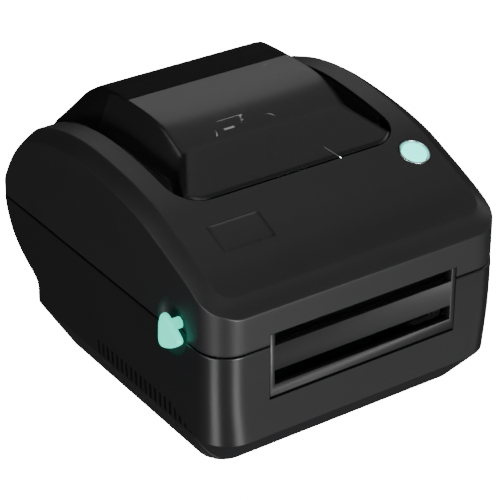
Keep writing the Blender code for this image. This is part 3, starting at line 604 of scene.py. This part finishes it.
def base_surface():
    """Rings from the underside up the sloping skirt, over the crisp hip edge and up the walls."""
    heights = [BASE_LEVELS[0][0], 2.3, 3.2] + list(np.linspace(4, 23.2, 12)) + [23.55, 23.7, 23.95, 24.6]
    heights += list(np.linspace(26, SPLIT - 1.0, 34)) + [SPLIT - 0.85, SPLIT - 0.6, SPLIT - 0.35,
                                                         SPLIT - 0.15, SPLIT - 0.04, SPLIT]
    rings = []
    for h in heights:
        half, front, rear, fr, rr = base_loop(h)
        inset = 0.0
        for near, r in ((SPLIT - h, 0.9), (h - BASE_LEVELS[0][0], 1.2)):
            if near < r:
                inset = r - math.sqrt(r * r - (r - near) ** 2)
        loop = plan(half - inset, front + inset, rear - inset, fr - inset, rr - inset, 12, 64, 30)
        rings.append(np.stack([loop[:, 0], back(loop[:, 1]), np.full(len(loop), h)], 1))
    points = np.array(rings)
    return points, quads(len(rings), points.shape[1], True)


VENTS, VENT_START, VENT_PITCH = 21, 20.0, 4.8


def vent_blanks():
    """Round-ended slots through the skirt and the foot of both side walls."""
    parts = []
    for side in (-1, 1):
        for k in range(VENTS):
            middle = VENT_START + k * VENT_PITCH
            top = 32.5 - 2.0 * max(0, 5 - k)
            end = arc((middle, top), 1.05, 0, 180, 7)
            outline = np.concatenate([end, [[middle - 1.05, 0.5], [middle + 1.05, 0.5]]])
            parts.append(prism(outline, sorted((side * 74.0, side * 97.0))))
    return gather(parts)


PORTS = {"dc_inlet": ((-62.0, -50.0), (26.0, 37.0)), "usb_port": ((-36.0, -22.0), (26.0, 38.0)),
         "switch_housing": ((44.0, 64.0), (25.0, 39.0))}


def make_base():
    points, faces = base_surface()
    base = piece("base_cover", points, faces, None, finishes["satin_abs"], "")
    thicken(base, 2.3)
    merged(base, [("dish_boss", backing(side, 50, SPLIT - 0.05)) for side in (-1, 1)])
    blanks = [blank("dish", *disc_blank(side, *RECESS)) for side in (-1, 1)]
    blanks.append(blank("bezel_window", *block(BEZEL_SPAN, (-4, 6.2), (BEZEL_LOW[2] - 0.5, 90))))
    for side in (-1, 1):
        blanks.append(blank("hinge_notch", *block(hinge_span(side), HINGE_DEPTHS, (SPLIT - 5.4, 90))))
    for x, z in PORTS.values():
        blanks.append(blank("port", *block(x, (178, 206), z)))
    blanks.append(blank("vents", *vent_blanks()))
    carve(base, *blanks)
    # The sloping skirt faces down; it gets the darker, duller ABS, painted shade.
    base.data.materials.append(finishes["painted_shade_abs"])
    for face in base.data.polygons:
        if face.center.z < 23.2 * MM:
            face.material_index = 1
    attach(base, "base")
    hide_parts("base_housing")


def opening_half(depth):
    """Half width of the opening at a depth, less its clearance."""
    half = OPENING_HALF - 0.35
    corner = np.where(depth < 130, OPENING_CORNER, OPENING_REAR_CORNER)
    edge = np.minimum(depth - OPENING_FRONT, OPENING_REAR - depth)
    inset = np.clip(corner - edge, 0, corner)
    return half - corner + np.sqrt(np.maximum(corner**2 - inset**2, 0.0))


def window_end(x):
    """Depth of the seam between window and cap, which steps back on the side walls."""
    return WINDOW_REAR + 17.0 * ease(np.abs(x), HUMP_HALF - 0.9, HUMP_HALF + 0.9)


def over_opening(name, start, end, rows, finish, node, wall):
    """Grid over part of the opening: fractions of its half width by fractions of its depth."""
    spread = np.concatenate([np.linspace(0, 0.68, 18, endpoint=False),
                             np.linspace(0.68, 0.84, 26, endpoint=False),
                             np.linspace(0.84, 1, 16)])
    across = np.concatenate([-spread[:0:-1], spread])
    along = rows[:, None]
    rim = OPENING_HALF - 0.35
    guess = across[None, :] * rim
    depth = start(guess) + (end(guess) - start(guess)) * along
    x = across[None, :] * opening_half(depth)
    points = np.stack([x, back(depth), hump_height(x, depth)], -1)
    made = piece(name, points, quads(len(rows), len(across)), None, finish, "", sharp=40)
    thicken(made, wall)
    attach(made, "lid")
    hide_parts(node)
    return made


def make_window():
    rows = np.concatenate([np.linspace(0, 0.06, 8, endpoint=False),
                           np.linspace(0.06, 0.3, 18, endpoint=False),
                           np.linspace(0.3, 0.42, 14, endpoint=False), np.linspace(0.42, 1, 30)])
    over_opening("roll_window_fine", lambda x: OPENING_FRONT + 0.35 + 0 * x, window_end, rows,
                 finishes["smoked_acrylic"], "roll_window", 1.8)


def make_cap():
    rows = np.concatenate([[0, 0.006], np.linspace(0.02, 1, 44)])
    # The cap gets the darker, duller ABS that carries painted shade.
    over_opening("rear_cap_fine", lambda x: window_end(x) + 0.3, lambda x: OPENING_REAR - 0.35 + 0 * x, rows,
                 finishes["painted_shade_abs"], "rear_cap", 2.0)


# --- trim -----------------------------------------------------------------------------------------
def make_bezel():
    """Front insert: a plate with a bull-nosed lower lip, two slots and a stepped mouth."""
    low, high = BEZEL_LOW[2], BEZEL_HIGH[2]
    nose = arc((1.6, low + 1.8), 1.4, 180, 90, 9)
    outline = np.concatenate([[(0.2, high), (0.2, low + 3.0)], nose, [(5.7, low + 0.4), (5.7, high)]])
    bezel = piece("bezel_insert", *prism(outline, (BEZEL_LOW[0], BEZEL_HIGH[0])), None,
                  finishes["grained_abs"], "")
    outward(bezel)
    slot = 56.6
    carve(bezel, blank("exit", *block((-slot, slot), (-5, 10), (77.1, 92))),
          blank("liner", *block((-slot, slot), (-5, 10), (53.8, 62.2))),
          blank("relief", *block((-slot, slot), (3.0, 10), (64.0, 92))))
    # Ledges and returns that face up or sideways get the darker, duller ABS: painted shade.
    bezel.data.materials.append(finishes["painted_shade_abs"])
    for face in bezel.data.polygons:
        if face.normal.z > 0.35 or abs(face.normal.x) > 0.5:
            face.material_index = 1
    bevel(bezel, 0.2, 2, 40)
    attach(bezel, "base")
    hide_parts("front_bezel")


def make_tear_bar():
    """Steel strip with a row of ground teeth along its upper edge."""
    teeth, half = 88, 56.0
    k = np.arange(teeth)
    pitch = 2 * half / teeth
    top = np.stack([half - k * pitch, np.full(teeth, 76.7),
                    half - (k + 0.5) * pitch, np.full(teeth, 77.85)], 1)
    outline = np.concatenate([[(-half, 66.6), (half, 66.6)], top.reshape(-1, 2), [(-half, 76.7)]])
    n = len(outline)
    loops = [np.stack([outline[:, 0], np.full(n, back(d)), outline[:, 1]], 1) for d in (3.5, 4.5)]
    faces = [list(range(n)), list(range(2 * n - 1, n - 1, -1))]
    faces += [[(i + 1) % n, i, n + i, n + (i + 1) % n] for i in range(n)]
    outward(piece("tear_bar_fine", np.concatenate(loops), faces, "base", finishes["blued_steel"], "steel",
                  ["tear_bar"]))


PADDLE = [(40.6, 89.3), (44.0, 88.1), (46.2, 81.8), (46.9, 70.3), (44.7, 67.9), (39.5, 69.1), (32.6, 72.7),
          (26.1, 78.1), (26.7, 80.7), (35.1, 86.1)]


def rounded_outline(points, radius, steps=6):
    """Closed outline with its corners replaced by quadratic arcs."""
    points = np.asarray(points, float)
    out = []
    for i, p in enumerate(points):
        for_side = [points[i - 1] - p, points[(i + 1) % len(points)] - p]
        legs = [v / np.linalg.norm(v) * min(radius, 0.45 * np.linalg.norm(v)) for v in for_side]
        for t in np.linspace(0, 1, steps):
            out.append((1 - t) ** 2 * (p + legs[0]) + 2 * t * (1 - t) * p + t * t * (p + legs[1]))
    return np.array(out)


def make_latches():
    """Teal paddles: a rounded sail outline, domed across, with a neck down to the rod."""
    outline = rounded_outline(PADDLE, 3.2)
    middle = outline.mean(0)
    for side, hand in ((-1, "left"), (1, "right")):
        loops = []
        for out, size in ((1.3, 0.86), (1.5, 0.94), (2.0, 0.985), (2.8, 1.0), (3.9, 0.985), (4.5, 0.95),
                          (4.8, 0.88),
                          (4.95, 0.6)):
            ring = middle + (outline - middle) * size
            loops.append(np.stack([np.full(len(ring), side * (HALF + out)), back(ring[:, 0]), ring[:, 1]], 1))
        neck = np.array([arc(LATCH_AXIS, r, 0, 360, 25)[:-1] for r in (3.1, 3.1, 2.9, 3.3)])
        places = (HALF - 4.5, HALF - 1.0, HALF + 0.6, HALF + 1.6)
        tube = [np.stack([np.full(24, side * x), back(n[:, 0]), n[:, 1]], 1) for x, n in zip(places, neck)]
        made = piece("latch_" + hand, *gather([tube_grid(loops), tube_grid(tube)]), "latch",
                     finishes["teal_abs"], "teal_abs", ["latch_paddle_" + hand], 50)
        outward(made)


def lathe(profile, steps=64):
    """Rings of a (radius, height) profile turned about the button's axis and stood on the panel."""
    u = np.linspace(0, 2 * np.pi, steps + 1)[:-1]
    loops = [np.stack([r * np.cos(u), r * np.sin(u), np.full(steps, h)], 1) for r, h in profile]
    points, faces = tube_grid(loops)
    return on_panel(points), faces


def make_button():
    """Domed teal key in a chrome-edged ring."""
    dome = [(7.0, -4.0), (7.0, -0.3), (6.95, 0.1), (6.7, 0.4), (6.2, 0.6), (4.5, 0.75), (2.0, 0.85),
            (0.3, 0.87)]
    key = piece("feed_key", *lathe(dome), "button", finishes["glowing_teal"], "teal_abs", ["feed_button"], 40)
    outward(key)
    profile = [(8.85, -3.4), (8.85, 0.1), (8.7, 0.55), (8.3, 0.8), (7.95, 0.7), (7.7, 0.3), (7.62, -0.4),
               (7.62, -3.4)]
    u = np.linspace(0, 2 * np.pi, 65)[:-1]
    loops = np.array([np.stack([r * np.cos(u), r * np.sin(u), np.full(64, h)], 1)
                      for r, h in profile + profile[:1]])
    points = on_panel(loops)
    ring = piece("key_ring", points, quads(len(loops), 64, True), "lid", finishes["chrome_ring"], "dark_abs",
                 ["button_ring"], 40)
    outward(ring)


def make_plate():
    """Blank plate let into the panel: a thin sheet that follows its slope, with rounded edges."""
    across, along = np.linspace(-66.5, -35.0, 12), np.linspace(30.4, 47.0, 12)
    x, depth = np.meshgrid(across, along)
    points = np.stack([x, back(depth), curve(TOP_LINE, depth) + 0.22], -1)
    plate = piece("blank_plate", points, quads(12, 12), None, finishes["plate_abs"], "")
    thicken(plate, 0.2)
    bevel(plate, 0.08, 2, 40)
    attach(plate, "lid")
    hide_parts("name_plate")


def paint_nodes():
    """Finishes for the frame's own parts that are shown as they are."""
    wanted = {
        # Inner parts get the darker, duller ABS: painted shade where they lie inside.
        "painted_shade_abs": ["base_plate", "media_chassis", "dc_inlet", "switch_housing", "gap_sensor",
                     "media_sensor",
                     "lid_frame", "media_guide_left", "media_guide_right"],
        "satin_abs": ["power_rocker"],
        "plated_steel": ["usb_port", "platen_shaft", "motor_pinion", "idler_axle", "head_spring_left",
                         "head_spring_right", "latch_rod", "latch_hook_left", "latch_hook_right",
                         "hinge_bracket_left", "hinge_bracket_right", "hinge_knuckle_left",
                         "hinge_knuckle_right",
                         "hinge_pin_left", "hinge_pin_right"] + ["plate_screw_%d" % k for k in range(1, 5)],
        "turned_aluminium": ["print_head", "stepper_motor"],
        "silicone_rubber": ["platen_roller"] + ["foot_%d" % k for k in range(1, 5)],
        "acetal": ["platen_gear", "idler_gear", "platen_bush_left", "platen_bush_right", "guide_pinion",
                   "roll_hub_left", "roll_hub_right"],
        "solder_mask": ["main_board", "button_board"],
    }
    for finish, nodes in wanted.items():
        for node in nodes:
            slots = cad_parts[node].material_slots
            for slot in slots:
                slot.material = finishes[finish]


# --- stage ----------------------------------------------------------------------------------------
def softbox(name, azimuth, elevation, reach, size, power):
    """Oblong lamp that faces the printer from a distance in metres.

    Its azimuth, in degrees, goes from the front round to the left."""
    lamp = bpy.data.lights.new(name, "AREA")
    lamp.shape, lamp.size, lamp.size_y, lamp.energy = "RECTANGLE", size[0], size[1], power
    made = bpy.data.objects.new(name, lamp)
    a, e = math.radians(azimuth), math.radians(elevation)
    away = Vector((-math.sin(a) * math.cos(e), -math.cos(a) * math.cos(e), math.sin(e)))
    made.location = away * reach + Vector((0, 0, 0.07))
    made.rotation_euler = away.to_track_quat("Z", "Y").to_euler()
    bpy.context.scene.collection.objects.link(made)
    return made


def make_stage():
    """White light table, soft lamps round the printer, and the camera."""
    stage = bpy.context.scene.printer_stage
    n = 3
    points = np.array([(x, y, 0) for y in np.linspace(-3000, 3000, n) for x in np.linspace(-3000, 3000, n)])
    tree, shader = new_finish("light_table", Roughness=0.9)
    shader.inputs["Base Color"].default_value = linear("#e6e6e6")
    shader.inputs["Emission Color"].default_value = linear("#ffffff")
    shader.inputs["Emission Strength"].default_value = stage.floor_glow
    floor = piece("floor", points, quads(n, n), None, finishes["light_table"], "")
    # The table's own glow stays off the shells, and the low lamps shine through it.
    floor.visible_glossy = floor.visible_diffuse = floor.visible_shadow = False
    world = bpy.data.worlds.new("studio")
    world.use_nodes = True
    world.node_tree.nodes["Background"].inputs["Color"].default_value = linear("#ffffff")
    world.node_tree.nodes["Background"].inputs["Strength"].default_value = stage.fill
    bpy.context.scene.world = world
    softbox("front_box", -2, 2, 1.2, (0.3, 0.25), stage.front)
    softbox("left_box", 70, 4, 1.2, (0.6, 0.3), stage.left)
    softbox("right_box", -75, 20, 1.2, (0.6, 0.5), stage.right)
    softbox("overhead", 0, 86, 1.2, (0.9, 0.9), stage.overhead)
    softbox("rear_box", -147, 27, 1.2, (0.9, 0.35), stage.rear)
    softbox("rear_middle", -147, 42, 1.2, (0.6, 0.35), stage.rear_middle)
    softbox("rear_high", -120, 56, 1.2, (0.9, 0.6), stage.rear_high)
    softbox("key", 15, 32, 1.2, (0.4, 0.4), stage.key)
    for name, azimuth in (("left_strip", 65), ("front_strip", 2)):
        softbox(name, azimuth, -34, 1.0, (0.26, 0.4), stage.strips)
    softbox("low_front", -38, -36, 1.1, (1.0, 0.5), stage.low_front)
    softbox("left_high", 100, 38, 1.2, (0.7, 0.5), stage.left_high)
    camera = bpy.data.cameras.new("camera")
    camera.sensor_width, camera.lens = 36.0, stage.lens
    made = bpy.data.objects.new("camera", camera)
    made.location = (stage.camera_x * MM, stage.camera_y * MM, stage.camera_z * MM)
    made.rotation_euler = (math.pi / 2 - stage.pitch, 0, -stage.pan)
    bpy.context.scene.collection.objects.link(made)
    bpy.context.scene.camera = made


# --- add-on ---------------------------------------------------------------------------------------
class PrinterColours(bpy.types.PropertyGroup):
    """Colours a user would change."""
    shell: bpy.props.StringProperty(
        name="Shell", description="Darkest tone of the shells, as sRGB hex",
        default="#18181a")
    accent: bpy.props.StringProperty(
        name="Accent", description="Darkest tone of the latches, as sRGB hex",
        default="#0fa596")


class PrinterStage(bpy.types.PropertyGroup):
    """Lamps and camera."""
    fill: bpy.props.FloatProperty(
        name="Fill", description="Strength of the even light",
        default=0.03, min=0)
    floor_glow: bpy.props.FloatProperty(
        name="Table glow", description="Light of the table",
        default=20.0, min=0)
    front: bpy.props.FloatProperty(
        name="Front", description="Box in front",
        default=14.0, min=0, unit="POWER")
    left: bpy.props.FloatProperty(
        name="Left", description="Box at the left",
        default=9.0, min=0, unit="POWER")
    right: bpy.props.FloatProperty(
        name="Right", description="Box at the right",
        default=1.5, min=0, unit="POWER")
    overhead: bpy.props.FloatProperty(
        name="Overhead", description="Box above",
        default=1.3, min=0, unit="POWER")
    rear: bpy.props.FloatProperty(
        name="Rear", description="Box behind",
        default=0.8, min=0, unit="POWER")
    rear_middle: bpy.props.FloatProperty(
        name="Rear middle", description="Box behind, half way up",
        default=0.6, min=0, unit="POWER")
    rear_high: bpy.props.FloatProperty(
        name="Rear high", description="High box behind",
        default=0.8, min=0, unit="POWER")
    key: bpy.props.FloatProperty(
        name="Key", description="Small box in front",
        default=0.8, min=0, unit="POWER")
    low_front: bpy.props.FloatProperty(
        name="Low front", description="Box below, in front",
        default=0.7, min=0, unit="POWER")
    left_high: bpy.props.FloatProperty(
        name="Left high", description="High box at the left",
        default=1.6, min=0, unit="POWER")
    strips: bpy.props.FloatProperty(
        name="Strips", description="Low strips",
        default=1.5, min=0, unit="POWER")
    lens: bpy.props.FloatProperty(
        name="Lens", description="Focal length on a 36 mm sensor",
        default=152.3, subtype="DISTANCE_CAMERA")
    camera_x: bpy.props.FloatProperty(
        name="Camera X", description="Millimetres across",
        default=-572.0)
    camera_y: bpy.props.FloatProperty(
        name="Camera Y", description="Millimetres along",
        default=-846.0)
    camera_z: bpy.props.FloatProperty(name="Camera Z", description="Millimetres up", default=644.8)
    pan: bpy.props.FloatProperty(
        name="Pan", description="Turn to the right",
        default=0.598, subtype="ANGLE")
    pitch: bpy.props.FloatProperty(
        name="Pitch", description="Turn down",
        default=0.519, subtype="ANGLE")


class PRINTER_OT_finishes(bpy.types.Operator):
    """Makes the materials of the printer"""
    bl_idname = "printer.finishes"
    bl_label = "Finishes"

    def execute(self, context):
        make_finishes()
        return {"FINISHED"}


class PRINTER_OT_lid(bpy.types.Operator):
    """Builds the lid's shell"""
    bl_idname = "printer.lid"
    bl_label = "Lid"

    def execute(self, context):
        make_lid()
        return {"FINISHED"}


class PRINTER_OT_base(bpy.types.Operator):
    """Builds the base's shell with its vents and port windows"""
    bl_idname = "printer.base"
    bl_label = "Base"

    def execute(self, context):
        make_base()
        return {"FINISHED"}


class PRINTER_OT_window(bpy.types.Operator):
    """Builds the smoked window over the roll"""
    bl_idname = "printer.window"
    bl_label = "Window"

    def execute(self, context):
        make_window()
        return {"FINISHED"}


class PRINTER_OT_cap(bpy.types.Operator):
    """Builds the cap behind the window"""
    bl_idname = "printer.cap"
    bl_label = "Rear cap"

    def execute(self, context):
        make_cap()
        return {"FINISHED"}


class PRINTER_OT_bezel(bpy.types.Operator):
    """Builds the front insert with its two slots"""
    bl_idname = "printer.bezel"
    bl_label = "Bezel"

    def execute(self, context):
        make_bezel()
        return {"FINISHED"}


class PRINTER_OT_tear_bar(bpy.types.Operator):
    """Builds the toothed steel strip"""
    bl_idname = "printer.tear_bar"
    bl_label = "Tear bar"

    def execute(self, context):
        make_tear_bar()
        return {"FINISHED"}


class PRINTER_OT_latches(bpy.types.Operator):
    """Builds the two side latches"""
    bl_idname = "printer.latches"
    bl_label = "Latches"

    def execute(self, context):
        make_latches()
        return {"FINISHED"}


class PRINTER_OT_button(bpy.types.Operator):
    """Builds the feed key and its ring"""
    bl_idname = "printer.button"
    bl_label = "Feed button"

    def execute(self, context):
        make_button()
        return {"FINISHED"}


class PRINTER_OT_plate(bpy.types.Operator):
    """Builds the blank plate on the panel"""
    bl_idname = "printer.plate"
    bl_label = "Blank plate"

    def execute(self, context):
        make_plate()
        return {"FINISHED"}


class PRINTER_OT_nodes(bpy.types.Operator):
    """Gives the frame's own parts their finishes"""
    bl_idname = "printer.nodes"
    bl_label = "Inner parts"

    def execute(self, context):
        paint_nodes()
        return {"FINISHED"}


class PRINTER_OT_stage(bpy.types.Operator):
    """Builds floor, lamps and camera"""
    bl_idname = "printer.stage"
    bl_label = "Stage"

    def execute(self, context):
        make_stage()
        return {"FINISHED"}


STEPS = [
    PRINTER_OT_finishes,
    PRINTER_OT_lid,
    PRINTER_OT_base,
    PRINTER_OT_window,
    PRINTER_OT_cap,
    PRINTER_OT_bezel,
    PRINTER_OT_tear_bar,
    PRINTER_OT_latches,
    PRINTER_OT_button,
    PRINTER_OT_plate,
    PRINTER_OT_nodes,
    PRINTER_OT_stage,
]


class PRINTER_PT_looks(bpy.types.Panel):
    """Lists the steps that build the printer's looks."""
    bl_idname = "PRINTER_PT_looks"
    bl_label = "Label printer"
    bl_space_type = "VIEW_3D"
    bl_region_type = "UI"
    bl_category = "Printer"

    def draw(self, context):
        for cls in STEPS:
            self.layout.operator(cls.bl_idname)


CLASSES = [PrinterColours, PrinterStage] + STEPS + [PRINTER_PT_looks]


def register():
    for cls in CLASSES:
        bpy.utils.register_class(cls)
    bpy.types.Scene.printer_colours = bpy.props.PointerProperty(type=PrinterColours)
    bpy.types.Scene.printer_stage = bpy.props.PointerProperty(type=PrinterStage)


def unregister():
    del bpy.types.Scene.printer_stage
    del bpy.types.Scene.printer_colours
    for cls in reversed(CLASSES):
        bpy.utils.unregister_class(cls)


def main():
    register()
    for cls in STEPS:
        group, name = cls.bl_idname.split(".")
        getattr(getattr(bpy.ops, group), name)()


if __name__ == "__main__":
    main()
